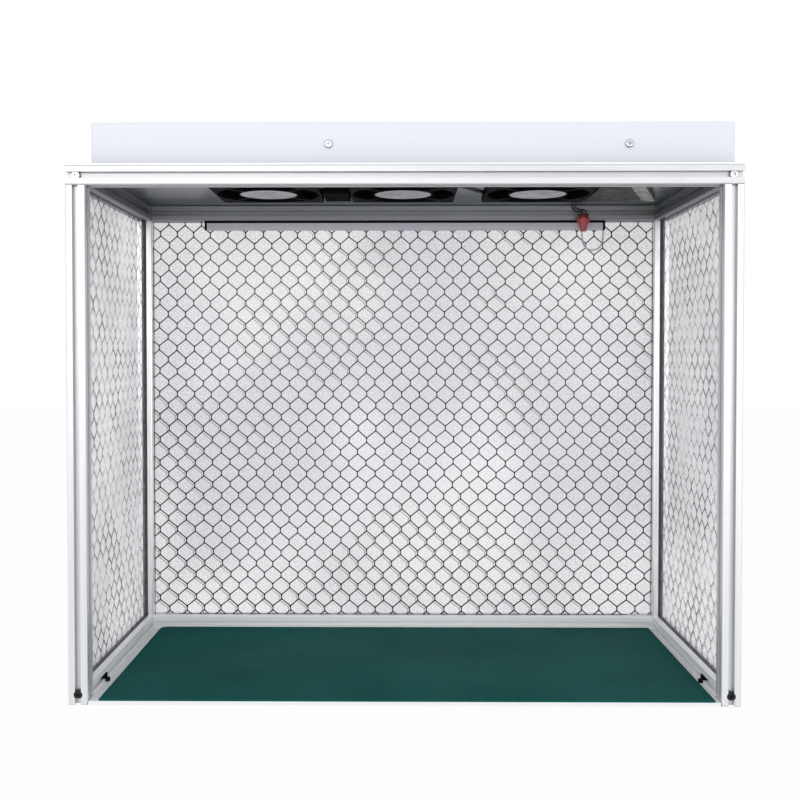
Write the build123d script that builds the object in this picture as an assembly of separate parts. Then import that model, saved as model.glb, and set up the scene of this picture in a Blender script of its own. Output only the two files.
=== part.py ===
from build123d import *
from math import pi, radians, sqrt, tan
import os

# Bench-top laminar flow hood: a frame of square slotted aluminium extrusion with clear
# film on three sides, an open front, a matted floor, a white header box with three
# axial fans blowing down through the ceiling, and a lamp bar under the rear rail.
# +Z is up, the open front faces -Y, and the origin is the centre of the footprint
# on the bench. Every length is in millimetres.

# ---------------------------------------------------------------- driving dimensions

# frame
frame_width = 680.0           # over the outer faces, along X
frame_depth = 310.0           # over the outer faces, along Y
frame_height = 545.0          # bench to the top of the upper rails

# slotted extrusion
rail_side = 20.0              # side of the square section
rail_corner = 1.5             # radius of its long edges
slot_mouth = 6.2              # width of the slot's mouth
slot_lip = 1.8                # thickness of the lips beside the mouth
slot_inner = 11.5             # widest part of the slot, behind the lips
slot_flank_start = 3.0        # depth at which the slot starts to narrow
slot_depth = 6.0              # depth of the slot's floor
slot_floor = 6.0              # width of that floor
core_bore = 4.2               # bore along the section's centre

# joining screws
screw_size = 5.0              # nominal diameter of the frame screws
thread_gap = 0.05             # radial gap between a thread and its tapped hole
tap_depth = 18.0              # depth of the tapped stretch at a rail's end
foot_tap_gap = 0.75           # the tapped stretch for a foot ends this far below the cross hole
clear_hole = 5.5              # plain hole that a frame screw passes
cap_head_diameter = 8.5       # lower screws: socket cap head
cap_head_height = 5.0
cap_pocket = 9.0              # pocket drilled through the lips for that head
low_head_diameter = 8.4       # upper screws: low head hidden behind the lips
low_head_height = 2.5
low_head_seat = 4.5           # depth of that head's underside in the slot
screw_reach = 14.0            # thread engaged in the rail's end

# hidden corner keys
key_width = 8.6               # wider than the slot's mouth, so the lips hold it
key_thickness = 2.5
key_neck = 5.8                # part of the key that passes through a mouth
key_leg = 28.0
key_gap = 0.1                 # gap between the key and the inside of the lips
set_screw_size = 4.0

# clear side films
film_thickness = 0.5
film_grip = 5.0               # how far the film reaches into a slot
film_end_gap = 0.3            # gap between the film's notches and the rails
seal_width = 6.0              # strip that holds the film in a slot's mouth
seal_top_gap = 0.2            # the strip lies this far below the slot's face
seal_depth = 5.8
seal_slit = 0.6

# floor
board_thickness = 4.0
board_gap = 0.3               # gap between the board and the rails round it
mat_thickness = 2.0
mat_left_gap = 11.0           # gaps between the mat's sides and the side rails
mat_right_gap = 6.0
mat_rear_gap = 2.0
mat_corner = 9.0
clip_width = 5.0
clip_reach = 4.0              # how far a clip stands out over the board
clip_height = 4.0
clip_from_centre = 88.0       # clips' distance forward of the frame's centre
clip_tongue_gap = 0.2

# ceiling panel
panel_thickness = 1.5
panel_edge = 1.0              # the panel's edges lie this far inside the frame's faces
panel_screw_size = 3.0
panel_screw_head = 5.6
panel_screw_pitch = 200.0
panel_screw_length = 7.0
panel_nut_thickness = 2.0
tab_width = 20.0              # upright tabs on the panel that hold the header cover
tab_height = 32.0

# header cover
header_height = 45.0
header_wall = 1.5
header_left_inset = 21.0      # from the frame's left face
header_right_inset = 3.8
header_front_inset = 20.0
header_rear_inset = 5.0
header_bend = 2.0             # outer radius of the folded edges
header_screw_x = (-76.6, 229.0)
header_screw_height = 22.5    # above the panel's top
header_screw_size = 4.0
pan_head_diameter = 8.6
pan_head_height = 2.6
header_screw_reach = 10.0
intake_rows = 9
intake_pitch = 12.0
intake_slot_length = 112.0
intake_slot_width = 5.0

# fans
fan_pitch = 154.0
fan_side = 120.0
fan_height = 38.0
fan_drop = 7.3                # the fans stand this far below the ceiling panel
fan_corner = 5.0
fan_hole_inset = 7.5
fan_hole = 4.4
fan_flange = 5.0
fan_wall = 2.0
fan_barrel_inset = 0.3        # the round duct lies this far inside the flanges' sides
fan_tip_gap = 1.0
fan_cutout_gap = 0.4
fan_base_diameter = 68.0
fan_base_thickness = 4.0
fan_struts = 4
fan_strut_width = 5.0
fan_label_diameter = 64.0
fan_label_thickness = 0.3
hub_diameter = 64.0
hub_wall = 1.8
hub_base_gap = 1.5
hub_height = 29.0
blade_count = 7
blade_root_chord = 27.0
blade_tip_chord = 38.0
blade_root_pitch = 42.0       # degrees from the plane of rotation
blade_tip_pitch = 25.0
blade_camber = 3.2
blade_thickness = 1.7
shaft_diameter = 4.0
shaft_gap = 0.05              # radial running clearance of the shaft
bearing_diameter = 8.0
bearing_width = 4.0
bearing_fit = 0.02
bearing_tube = 12.0
bearing_tube_length = 24.0    # from the hub's lower edge up
stator_diameter = 50.0
stator_height = 14.0
stator_slots = 8

# bridge that the fans hang from
bridge_thickness = 1.5
bridge_length = 470.0
bridge_width = 150.0
bridge_foot = 12.0
bridge_end_stud = 20.0        # from the bridge's ends to its outer studs
bridge_inlet = 112.0
fan_screw_size = 4.0
fan_screw_length = 12.0
stud_length = 7.0
nut_width = 7.0
nut_height = 3.2

# intake filter
filter_wall = 3.0
filter_width = 140.0
filter_length = 460.0
filter_pleat_pitch = 8.0
filter_top_gap = 0.2          # gap between the pleats and the header's top
filter_paper = 0.6
filter_lift = 4.0             # pleats start this far above the bridge

# lamp bar
lamp_length = 503.0           # without its end caps
lamp_shift = 2.5              # the bar hangs this far right of the frame's centre
lamp_width = 11.0
lamp_height = 11.5
lamp_rear_gap = 0.5           # gap between the lamp bar and the rear film
lamp_rail_depth = 2.8         # height of the black mounting rail
lamp_wall = 1.2
lamp_cap = 3.0
lamp_strip_width = 8.0
lamp_strip_thickness = 0.8
lamp_chips = 17
lamp_chip = (3.0, 3.0, 0.7)
diffuser_wall = 1.0
diffuser_round = 3.0

# wiring
splice_inset = 26.0           # the splice hangs this far in from the lamp's right-hand end
splice_drop = 14.6            # its lower end lies this far below the posts' tops
splice_height = 22.0
splice_bottom_diameter = 7.4
splice_top_diameter = 13.0
splice_gap = 0.3
wing_thickness = 2.4
wing_root = 3.0
wing_reach = 8.0
wing_heights = (6.0, 12.5, 17.0, 19.0)
lead_diameter = 2.0
thin_lead = 1.8
junction_width = 30.0
junction_front = -7.0
junction_rear = 57.0
junction_height = 6.8
supply_drop = 7.0             # the supply unit stands this far below the panel
supply_height = 32.0
supply_gap = 0.4
supply_round = 3.0
supply_fan_gap = 3.0          # gap between the right-hand fan and the supply unit
supply_half_depth = 58.0
supply_front_length = 45.0    # its free end is cut on the slant
supply_rear_length = 85.0
supply_front_slant = 4.0
supply_ear = 11.0
supply_ear_width = 12.0
supply_ear_thickness = 2.5
supply_ear_places = (33.0, 51.0)   # front and rear ears, from the unit's left side
supply_ear_root = 8.0         # how far an ear reaches into the unit

# rear of the header: supply socket and switch
socket_x = 285.0
socket_diameter = 11.0
socket_bore = 5.7
socket_pin = 2.1
socket_flange = 14.0
socket_flange_thickness = 1.6
socket_depth = 14.0
switch_x = 255.0
switch_height_above_panel = 24.0
switch_bezel = (15.0, 23.0)
switch_bezel_thickness = 1.6
switch_body = (12.8, 19.6)
switch_depth = 13.0
rocker_radius = 8.7
rocker_gap = 0.35
rocker_width = 10.2
rocker_tilt = 8.0             # degrees each way from the middle
rocker_pin = 2.0
rocker_pin_length = 0.9
rocker_depth = 2.0            # pivot's distance inside the header's rear face
rocker_valley = 3.2           # from the pivot out to the middle of the rocker's face

# ---------------------------------------------------------------- derived places

half_rail = rail_side / 2
post_x = frame_width / 2 - half_rail
post_y = frame_depth / 2 - half_rail
inner_x = frame_width / 2 - rail_side
inner_y = frame_depth / 2 - rail_side
low_rail_z = half_rail
top_rail_z = frame_height - half_rail
post_top = frame_height - rail_side
foot_tap_depth = low_rail_z - clear_hole / 2 - foot_tap_gap
tapped_bore = screw_size + 2 * thread_gap

board_top = board_thickness
mat_top = board_top + mat_thickness
mat_left = -inner_x + mat_left_gap
mat_right = inner_x - mat_right_gap

panel_low = frame_height
panel_top = panel_low + panel_thickness
header_left = -frame_width / 2 + header_left_inset
header_right = frame_width / 2 - header_right_inset
header_front = -frame_depth / 2 + header_front_inset
header_rear = frame_depth / 2 - header_rear_inset
header_top = panel_top + header_height

fan_low = panel_low - fan_drop
fan_top = fan_low + fan_height
fan_bore = fan_side / 2 - fan_wall
fan_hole_place = fan_side / 2 - fan_hole_inset
fan_centres = [(i - 1) * fan_pitch for i in range(3)]
blade_tip = fan_bore - fan_tip_gap
base_top = fan_low + fan_base_thickness
hub_low = base_top + hub_base_gap
hub_top = hub_low + hub_height
tube_top = hub_low + bearing_tube_length

bridge_low = fan_top
bridge_top = bridge_low + bridge_thickness
filter_low = bridge_top
filter_high = header_top - header_wall

lamp_left = lamp_shift - lamp_length / 2
lamp_right = lamp_shift + lamp_length / 2
lamp_rear = post_y - film_thickness / 2 - lamp_rear_gap
lamp_front = lamp_rear - lamp_width
lamp_mid = (lamp_front + lamp_rear) / 2
lamp_low = post_top - lamp_height
lamp_rail_low = post_top - lamp_rail_depth
splice_y = lamp_front - splice_gap - splice_top_diameter / 2
splice_x = lamp_right - splice_inset
splice_bottom = post_top - splice_drop
splice_top = splice_bottom + splice_height
supply_low = panel_low - supply_drop
supply_left = fan_centres[2] + fan_side / 2 + supply_fan_gap
switch_z = panel_top + switch_height_above_panel
rocker_y = header_rear - rocker_depth

# ---------------------------------------------------------------- helpers

nodes = {}


def add(name, *solids):
    """Keeps the solids of one named piece, or of a group of identical pieces."""
    nodes[name] = list(solids)


def block(x0, x1, y0, y1, z0, z1):
    """A box between two corners."""
    return Pos((x0 + x1) / 2, (y0 + y1) / 2, (z0 + z1) / 2) * Box(x1 - x0, y1 - y0, z1 - z0)


def rod(start, direction, length, diameter):
    """A round bar from a point, along a direction."""
    disc = Plane(origin=start, z_dir=direction) * Circle(diameter / 2)
    return extrude(disc, amount=length)


def upright(x, y, z0, z1, diameter):
    """A round bar between two heights."""
    return rod((x, y, z0), (0, 0, 1), z1 - z0, diameter)


def mirrored(solid):
    """The same piece on the other side of the hood."""
    return mirror(solid, about=Plane.YZ)


# ---------------------------------------------------------------- frame


def slot_outline():
    """One T-slot, opening towards +Y of the section."""
    mouth = slot_mouth / 2
    wide = slot_inner / 2
    floor = slot_floor / 2
    lip = half_rail - slot_lip
    flank = half_rail - slot_flank_start
    bottom = half_rail - slot_depth
    right = [(mouth, half_rail + 1), (mouth, lip), (wide, lip), (wide, flank), (floor, bottom)]
    left = [(-x, y) for x, y in reversed(right)]
    return make_face(Polyline(*right, *left, close=True))


def rail_section():
    """Square slotted section with a round core bore."""
    section = RectangleRounded(rail_side, rail_side, rail_corner)
    for quarter in range(4):
        section -= Rot(0, 0, 90 * quarter) * slot_outline()
    return section - Circle(core_bore / 2)


def rail(start, direction, length, tapped=(tap_depth, tap_depth)):
    """A length of extrusion from the centre of one end. Its ends are tapped to the two
    depths, where 0 leaves an end plain."""
    along = Vector(*direction)
    across = (0, 0, 1) if abs(along.Z) < 0.5 else (1, 0, 0)
    plane = Plane(origin=start, x_dir=across, z_dir=direction)
    bar = extrude(plane * rail_section(), amount=length)
    if tapped[0]:
        bar -= rod(start, direction, tapped[0], tapped_bore)
    if tapped[1]:
        end = Vector(*start) + along * length
        bar -= rod(end, -along, tapped[1], tapped_bore)
    return bar


def through_hole(x, z, side, depth):
    """Plain hole from the front (-1) or rear (+1) face, through the section's core."""
    face = side * frame_depth / 2
    return rod((x, face - side * depth, z), (0, -side, 0), rail_side - depth, clear_hole)


def cap_pockets(x, side):
    """Pocket and plain hole for a lower frame screw."""
    face = side * frame_depth / 2
    pocket = rod((x, face, low_rail_z), (0, -side, 0), slot_depth, cap_pocket)
    return pocket + through_hole(x, low_rail_z, side, slot_depth)


side_length = 2 * inner_y

for side, word in ((-1, "left"), (1, "right")):
    x = side * post_x
    front_post = rail((x, -post_y, 0), (0, 0, 1), post_top, (foot_tap_depth, 0))
    rear_post = rail((x, post_y, 0), (0, 0, 1), post_top, (foot_tap_depth, 0))
    add(f"front_post_{word}", front_post - cap_pockets(x, -1))
    add(f"rear_post_{word}", rear_post - cap_pockets(x, 1))
    add(f"bottom_side_rail_{word}", rail((x, -inner_y, low_rail_z), (0, 1, 0), side_length))
    add(f"top_side_rail_{word}", rail((x, -inner_y, top_rail_z), (0, 1, 0), side_length))

front_beam = rail((-frame_width / 2, -post_y, top_rail_z), (1, 0, 0), frame_width, (0, 0))
rear_beam = rail((-frame_width / 2, post_y, top_rail_z), (1, 0, 0), frame_width, (0, 0))
for side in (-1, 1):
    front_beam -= through_hole(side * post_x, top_rail_z, -1, slot_depth)
    rear_beam -= through_hole(side * post_x, top_rail_z, 1, slot_depth)
add("front_top_beam", front_beam)
add("rear_top_rail", rear_beam)
add("rear_bottom_rail", rail((-inner_x, post_y, low_rail_z), (1, 0, 0), 2 * inner_x, (0, 0)))


def socket_screw(size, head_diameter, head_height, reach, key_across):
    """Socket head screw, its head above the XY plane and its shank below."""
    head = Pos(0, 0, head_height / 2) * Cylinder(head_diameter / 2, head_height)
    top_edge = head.edges().filter_by(GeomType.CIRCLE).sort_by(Axis.Z)[-1]
    head = chamfer(top_edge, head_height * 0.12)
    recess_depth = head_height * 0.55
    recess = Plane.XY.offset(head_height) * RegularPolygon(key_across / sqrt(3), 6)
    head -= extrude(recess, amount=-recess_depth)
    shank = Pos(0, 0, -reach / 2) * Cylinder(size / 2, reach)
    return head + shank


def facing(side, x, depth, z):
    """Seat of a screw that goes in from the front (-1) or rear (+1) face."""
    return Plane(origin=(x, side * (frame_depth / 2 - depth), z), x_dir=(1, 0, 0), z_dir=(0, side, 0))


cap_reach = rail_side - slot_depth + screw_reach
low_reach = rail_side - low_head_seat + screw_reach
cap_screw = socket_screw(screw_size, cap_head_diameter, cap_head_height, cap_reach, 4.0)
low_screw = socket_screw(screw_size, low_head_diameter, low_head_height, low_reach, 3.0)
corners = [(sx, sy) for sx in (-1, 1) for sy in (-1, 1)]
add("lower_frame_screws",
    *[facing(sy, sx * post_x, slot_depth, low_rail_z).location * cap_screw for sx, sy in corners])
add("upper_frame_screws",
    *[facing(sy, sx * post_x, low_head_seat, top_rail_z).location * low_screw for sx, sy in corners])


def corner_key():
    """L key in two meeting slots: leg A along +X lies in the rail that goes on, and
    leg B along +Y lies in the rail that ends there. Origin at the inside corner."""
    near = slot_lip + key_gap
    far = near + key_thickness
    half_key = key_width / 2
    half_neck = key_neck / 2
    leg_a = block(-far, key_leg, -far, -near, -half_key, half_key)
    leg_b = block(-far, -near, 0, key_leg, -half_key, half_key)
    neck = block(-far, -near, -near, 0, -half_neck, half_neck)
    key = leg_a + neck + leg_b
    hole = set_screw_size + 2 * thread_gap
    place = key_leg * 0.55
    key -= rod((place, -far - 1, 0), (0, 1, 0), key_thickness + 2, hole)
    key -= rod((-far - 1, place, 0), (1, 0, 0), key_thickness + 2, hole)
    return key


def key_screws():
    """Set screws that press the two legs of a key out against the lips."""
    place = key_leg * 0.55
    length = slot_depth - 1.2
    blank = rod((0, 0, -slot_depth), (0, 0, 1), length, set_screw_size)
    socket = Plane.XY.offset(length - slot_depth) * RegularPolygon(2.0 / sqrt(3), 6)
    blank -= extrude(socket, amount=-length * 0.4)
    on_a = Plane(origin=(place, 0, 0), x_dir=(1, 0, 0), z_dir=(0, 1, 0)).location * blank
    on_b = Plane(origin=(0, place, 0), x_dir=(0, 1, 0), z_dir=(1, 0, 0)).location * blank
    return [on_a, on_b]


key_places = []
for side in (-1, 1):
    inward = (-side, 0, 0)
    for y in (-post_y, post_y):
        origin = (side * inner_x, y, post_top)
        key_places.append(Plane(origin=origin, x_dir=inward, z_dir=(0, -side, 0)))
    origin = (side * inner_x, post_y, rail_side)
    key_places.append(Plane(origin=origin, x_dir=(0, 0, 1), z_dir=(0, -side, 0)))
add("corner_keys", *[place.location * corner_key() for place in key_places])
add("key_set_screws", *[place.location * s for place in key_places for s in key_screws()])

# ---------------------------------------------------------------- films and their seals


def film_edge(low, high):
    return low - film_grip, high + film_grip


side_y = film_edge(-inner_y, inner_y)
side_z = film_edge(rail_side, post_top)
rear_x = film_edge(-inner_x, inner_x)
half_film = film_thickness / 2
key_notch = key_leg + 2.0

# a side film's upper corners are cut back, because the top rails run over the posts
side_film = (
    block(post_x - half_film, post_x + half_film, side_y[0], side_y[1], side_z[0], post_top - film_end_gap)
    + block(post_x - half_film, post_x + half_film, -inner_y + film_end_gap, inner_y - film_end_gap,
            side_z[0], side_z[1])
)
add("film_right", side_film)
add("film_left", mirrored(side_film))

# the rear film's corners are cut back round the corner keys
rear_film = block(-inner_x + film_end_gap, inner_x - film_end_gap, post_y - half_film, post_y + half_film,
                  rail_side + film_end_gap, post_top - film_end_gap)
rear_film += block(rear_x[0], rear_x[1], post_y - half_film, post_y + half_film,
                   rail_side + key_notch, post_top - key_notch)
rear_film += block(-inner_x + key_notch, inner_x - key_notch, post_y - half_film, post_y + half_film,
                   side_z[0], side_z[1])
add("film_rear", rear_film)


def seal(start, direction, opening, length):
    """Strip that fills a slot's mouth from one end, slit for the film. The slot opens
    towards the third argument."""
    plane = Plane(origin=start, x_dir=Vector(*direction).cross(Vector(*opening)), z_dir=direction)
    low = -seal_depth
    high = -seal_top_gap
    body = Pos(0, (low + high) / 2) * Rectangle(seal_width, high - low)
    slit_low = -film_grip - 0.1
    body -= Pos(0, (slit_low + 1) / 2) * Rectangle(seal_slit, 1 - slit_low)
    if plane.y_dir.dot(Vector(*opening)) < 0:
        body = mirror(body, about=Plane.XZ)
    return extrude(plane * body, amount=length)


post_seal_low = side_z[0]
post_seal_length = post_top - film_end_gap - post_seal_low
rail_seal_length = side_length - 2 * film_end_gap
right_seals = [
    seal((post_x, -inner_y, post_seal_low), (0, 0, 1), (0, 1, 0), post_seal_length),
    seal((post_x, inner_y, post_seal_low), (0, 0, 1), (0, -1, 0), post_seal_length),
    seal((post_x, -inner_y + film_end_gap, rail_side), (0, 1, 0), (0, 0, 1), rail_seal_length),
    seal((post_x, -inner_y + film_end_gap, post_top), (0, 1, 0), (0, 0, -1), rail_seal_length),
]
add("film_seals_right", *right_seals)
add("film_seals_left", *[mirrored(s) for s in right_seals])

rear_upright_length = post_top - rail_side - 2 * key_notch
rear_level_length = 2 * (inner_x - key_notch)
add("film_seals_rear",
    seal((-inner_x, post_y, rail_side + key_notch), (0, 0, 1), (1, 0, 0), rear_upright_length),
    seal((inner_x, post_y, rail_side + key_notch), (0, 0, 1), (-1, 0, 0), rear_upright_length),
    seal((-inner_x + key_notch, post_y, rail_side), (1, 0, 0), (0, 0, 1), rear_level_length),
    seal((-inner_x + key_notch, post_y, post_top), (1, 0, 0), (0, 0, -1), rear_level_length))

# ---------------------------------------------------------------- floor

board_side = inner_x - board_gap
add("base_board",
    block(-board_side, board_side, -frame_depth / 2, inner_y - board_gap, 0, board_top))

mat = block(mat_left, mat_right, -frame_depth / 2, inner_y - mat_rear_gap, board_top, mat_top)
rear_left_edge = mat.edges().filter_by(Axis.Z).group_by(Axis.X)[0].sort_by(Axis.Y)[-1]
add("esd_mat", fillet(rear_left_edge, mat_corner))


def board_clip():
    """Clip pushed into a side rail's slot, holding the board's edge down."""
    tongue_half = slot_mouth / 2 - clip_tongue_gap
    y0 = -clip_from_centre - clip_width / 2
    y1 = y0 + clip_width
    low = board_top
    pad = block(inner_x - clip_reach, inner_x, y0, y1, low, low + clip_height)
    nose = pad.edges().filter_by(Axis.Y).sort_by(Axis.Z)[-2:].sort_by(Axis.X)[0]
    pad = fillet(nose, 1.5)
    stem = block(inner_x - 1.2, inner_x, y0, y1, low, low_rail_z + tongue_half)
    tongue = block(inner_x, inner_x + slot_depth - 0.3, y0, y1,
                   low_rail_z - tongue_half, low_rail_z + tongue_half)
    return pad + stem + tongue


clip = board_clip()
add("board_clips", clip, mirrored(clip))

# ---------------------------------------------------------------- ceiling panel

panel_x = frame_width / 2 - panel_edge
panel_y = frame_depth / 2 - panel_edge
cutout = fan_side + 2 * fan_cutout_gap
panel = block(-panel_x, panel_x, -panel_y, panel_y, panel_low, panel_top)
for x in fan_centres:
    panel -= block(x - cutout / 2, x + cutout / 2, -cutout / 2, cutout / 2, panel_low - 1, panel_top + 1)

# outline of the supply unit, seen from below; its free end is cut on the slant
supply_outline = [
    (supply_left, -supply_half_depth),
    (supply_left + supply_front_length, -supply_half_depth - supply_front_slant),
    (supply_left + supply_rear_length, supply_half_depth),
    (supply_left, supply_half_depth),
]
supply_face = make_face(Polyline(*supply_outline, close=True))
supply_hole = Plane.XY.offset(panel_low - 1) * offset(supply_face, amount=supply_gap)
panel -= extrude(supply_hole, amount=panel_thickness + 2)

# tabs welded upright on the panel, inside the header cover's front and rear walls
tab_front = header_front + header_wall + 0.2
tab_rear = header_rear - header_wall - 0.2
header_screw_z = panel_top + header_screw_height
header_screw_hole = header_screw_size + 2 * thread_gap
for x in header_screw_x:
    x0 = x - tab_width / 2
    x1 = x + tab_width / 2
    front_tab = block(x0, x1, tab_front, tab_front + panel_thickness, panel_low, panel_top + tab_height)
    rear_tab = block(x0, x1, tab_rear - panel_thickness, tab_rear, panel_low, panel_top + tab_height)
    panel += front_tab + rear_tab
    panel -= rod((x, tab_front - 1, header_screw_z), (0, 1, 0), panel_thickness + 2, header_screw_hole)
    panel -= rod((x, tab_rear + 1, header_screw_z), (0, -1, 0), panel_thickness + 2, header_screw_hole)

# studs welded to the panel's upper face, under the bridge's feet and the supply unit's ears
foot_y = bridge_width / 2 + bridge_foot / 2
end_stud = bridge_length / 2 - bridge_end_stud
stud_x = (-end_stud, -fan_pitch / 2, fan_pitch / 2, end_stud)
bridge_studs = [(x, side * foot_y) for x in stud_x for side in (-1, 1)]
front_ear_y = -supply_half_depth - supply_front_slant * supply_ear_places[0] / supply_front_length
supply_studs = [(supply_left + supply_ear_places[0], front_ear_y - supply_ear / 2),
                (supply_left + supply_ear_places[1], supply_half_depth + supply_ear / 2)]
stud_size = fan_screw_size
for x, y in bridge_studs + supply_studs:
    panel += upright(x, y, panel_top, panel_top + stud_length, stud_size)

# countersunk screws into nuts in the front and rear rails' top slots
panel_screw_x = [(i - 1.5) * panel_screw_pitch for i in range(4)]
panel_screw_places = [(x, side * post_y) for x in panel_screw_x for side in (-1, 1)]
countersink = (panel_screw_head - panel_screw_size) / 2
countersink_gap = 0.2


def countersunk(diameter, head):
    """Cone of a countersunk head, its wide end on the XY plane."""
    return Pos(0, 0, -countersink / 2) * Cone(diameter / 2, head / 2, countersink)


panel_hole = panel_screw_size + 2 * countersink_gap
panel_screw = countersunk(panel_screw_size, panel_screw_head)
panel_screw += Pos(0, 0, -panel_screw_length / 2) * Cylinder(panel_screw_size / 2, panel_screw_length)
panel_screw -= extrude(RegularPolygon(2.0 / sqrt(3), 6), amount=-0.8)
nut_top = frame_height - slot_lip - key_gap
slot_nut = block(-5.0, 5.0, -key_width / 2, key_width / 2, nut_top - panel_nut_thickness, nut_top)
slot_nut -= upright(0, 0, nut_top - 5, nut_top + 5, panel_screw_size + 2 * thread_gap)
for x, y in panel_screw_places:
    panel -= Pos(x, y, panel_top) * countersunk(panel_hole, panel_screw_head + 2 * countersink_gap)
    panel -= upright(x, y, panel_low - 1, panel_top, panel_hole)
add("ceiling_panel", panel)
add("panel_screws", *[Pos(x, y, panel_top) * panel_screw for x, y in panel_screw_places])
add("panel_slot_nuts", *[Pos(x, y, 0) * slot_nut for x, y in panel_screw_places])

# ---------------------------------------------------------------- header cover

cover_outer = Box(header_right - header_left, header_rear - header_front, header_height)
cover_centre = Pos((header_left + header_right) / 2, (header_front + header_rear) / 2,
                   panel_top + header_height / 2)
cover_outer = cover_centre * cover_outer
bends = cover_outer.edges().filter_by(Axis.Z) + cover_outer.faces().sort_by(Axis.Z)[-1].edges()
cover_outer = fillet(bends, header_bend)
cover = cover_outer - block(header_left + header_wall, header_right - header_wall,
                            header_front + header_wall, header_rear - header_wall,
                            panel_top - 1, header_top - header_wall)
slot_tool = SlotOverall(intake_slot_length, intake_slot_width)
for x in fan_centres:
    for row in range(intake_rows):
        y = (row - (intake_rows - 1) / 2) * intake_pitch
        place = Plane(origin=(x, y, header_top - header_wall - 1))
        cover -= extrude(place * slot_tool, amount=header_wall + 2)

socket_z = switch_z
cover_hole = header_screw_size + 0.4
for x in header_screw_x:
    cover -= rod((x, header_front - 1, header_screw_z), (0, 1, 0), header_wall + 2, cover_hole)
    cover -= rod((x, header_rear + 1, header_screw_z), (0, -1, 0), header_wall + 2, cover_hole)
cover -= rod((socket_x, header_rear + 1, socket_z), (0, -1, 0), header_wall + 2, socket_diameter + 0.3)
cover -= block(switch_x - switch_body[0] / 2 - 0.2, switch_x + switch_body[0] / 2 + 0.2,
               header_rear - header_wall - 1, header_rear + 1,
               switch_z - switch_body[1] / 2 - 0.2, switch_z + switch_body[1] / 2 + 0.2)
add("header_cover", cover)


def pan_screw(size, head_diameter, head_height, reach):
    """Cross-recess pan head screw, its head above the XY plane."""
    head = Pos(0, 0, head_height / 2) * Cylinder(head_diameter / 2, head_height)
    crown = head.edges().filter_by(GeomType.CIRCLE).sort_by(Axis.Z)[-1]
    head = fillet(crown, head_height * 0.6)
    arm = size * 1.05
    cross = Rectangle(arm, size * 0.22) + Rectangle(size * 0.22, arm)
    head -= extrude(Plane.XY.offset(head_height) * cross, amount=-head_height * 0.55)
    return head + Pos(0, 0, -reach / 2) * Cylinder(size / 2, reach)


header_screw = pan_screw(header_screw_size, pan_head_diameter, pan_head_height, header_screw_reach)
front_seats = [Plane(origin=(x, header_front, header_screw_z), x_dir=(1, 0, 0), z_dir=(0, -1, 0))
               for x in header_screw_x]
rear_seats = [Plane(origin=(x, header_rear, header_screw_z), x_dir=(1, 0, 0), z_dir=(0, 1, 0))
              for x in header_screw_x]
add("header_screws", *[seat.location * header_screw for seat in front_seats + rear_seats])

# ---------------------------------------------------------------- fans


def square_plate(z, thickness):
    """One square flange of a fan's housing, with its four corner holes."""
    plate = RectangleRounded(fan_side, fan_side, fan_corner) - Circle(fan_bore)
    for sx in (-1, 1):
        for sy in (-1, 1):
            plate -= Pos(sx * fan_hole_place, sy * fan_hole_place) * Circle(fan_hole / 2)
    return extrude(Plane.XY.offset(z) * plate, amount=thickness)


def fan_housing():
    """Cast housing: two flanges, the round duct, four struts, the motor's base and the
    bearing tube."""
    barrel = Circle(fan_side / 2 - fan_barrel_inset) - Circle(fan_bore)
    housing = square_plate(fan_low, fan_flange)
    housing += square_plate(fan_top - fan_flange, fan_flange)
    housing += extrude(Plane.XY.offset(fan_low + fan_flange) * barrel, amount=fan_height - 2 * fan_flange)
    base_radius = fan_base_diameter / 2
    strut_length = fan_bore - base_radius + 4.0
    for i in range(fan_struts):
        strut = block(base_radius - 3.0, base_radius - 3.0 + strut_length, -fan_strut_width / 2,
                      fan_strut_width / 2, fan_low, base_top)
        strut = Rot(0, 0, 45 + 360 / fan_struts * i) * strut
        housing += strut & upright(0, 0, fan_low, base_top, 2 * fan_bore + 1)
    housing += upright(0, 0, fan_low, base_top, fan_base_diameter)
    housing += upright(0, 0, base_top, tube_top, bearing_tube)
    housing -= upright(0, 0, fan_low + 2.0, tube_top + 1, bearing_diameter + 2 * bearing_fit)
    recess = fan_label_diameter + 1.0
    housing -= upright(0, 0, fan_low - 1, fan_low + fan_label_thickness + 0.1, recess)
    return housing


def blade_section(radius, chord, pitch):
    """Cambered blade section in a plane square to the radius."""
    plane = Plane(origin=(radius, 0, (hub_low + hub_top) / 2), x_dir=(0, 1, 0), z_dir=(1, 0, 0))
    half = chord / 2
    upper = ThreePointArc((-half, 0), (0, blade_camber + blade_thickness / 2), (half, 0))
    lower = ThreePointArc((-half, 0), (0, blade_camber - blade_thickness / 2), (half, 0))
    return plane * (Rot(0, 0, pitch) * make_face(upper + lower))


def fan_rotor():
    """Hub cup, twisted blades and shaft, moulded and pressed as one turning piece."""
    hub_radius = hub_diameter / 2
    hub = upright(0, 0, hub_low, hub_top, hub_diameter)
    rim = hub.edges().filter_by(GeomType.CIRCLE).sort_by(Axis.Z)[-1]
    hub = fillet(rim, 2.5)
    hub -= upright(0, 0, hub_low - 1, hub_top - hub_wall, hub_diameter - 2 * hub_wall)
    root = blade_section(hub_radius - 6.0, blade_root_chord, blade_root_pitch)
    tip = blade_section(fan_bore + 2.0, blade_tip_chord, blade_tip_pitch)
    blade = loft([root, tip], ruled=True)
    sleeve = upright(0, 0, hub_low - 5, hub_top + 5, 2 * blade_tip)
    sleeve -= upright(0, 0, hub_low - 6, hub_top + 6, hub_diameter - 2 * hub_wall + 1.0)
    blade = blade & sleeve
    for i in range(blade_count):
        hub += Rot(0, 0, 360 / blade_count * i) * blade
    shaft_low = fan_low + 2.4
    return hub + upright(0, 0, shaft_low, hub_top - hub_wall, shaft_diameter)


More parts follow.
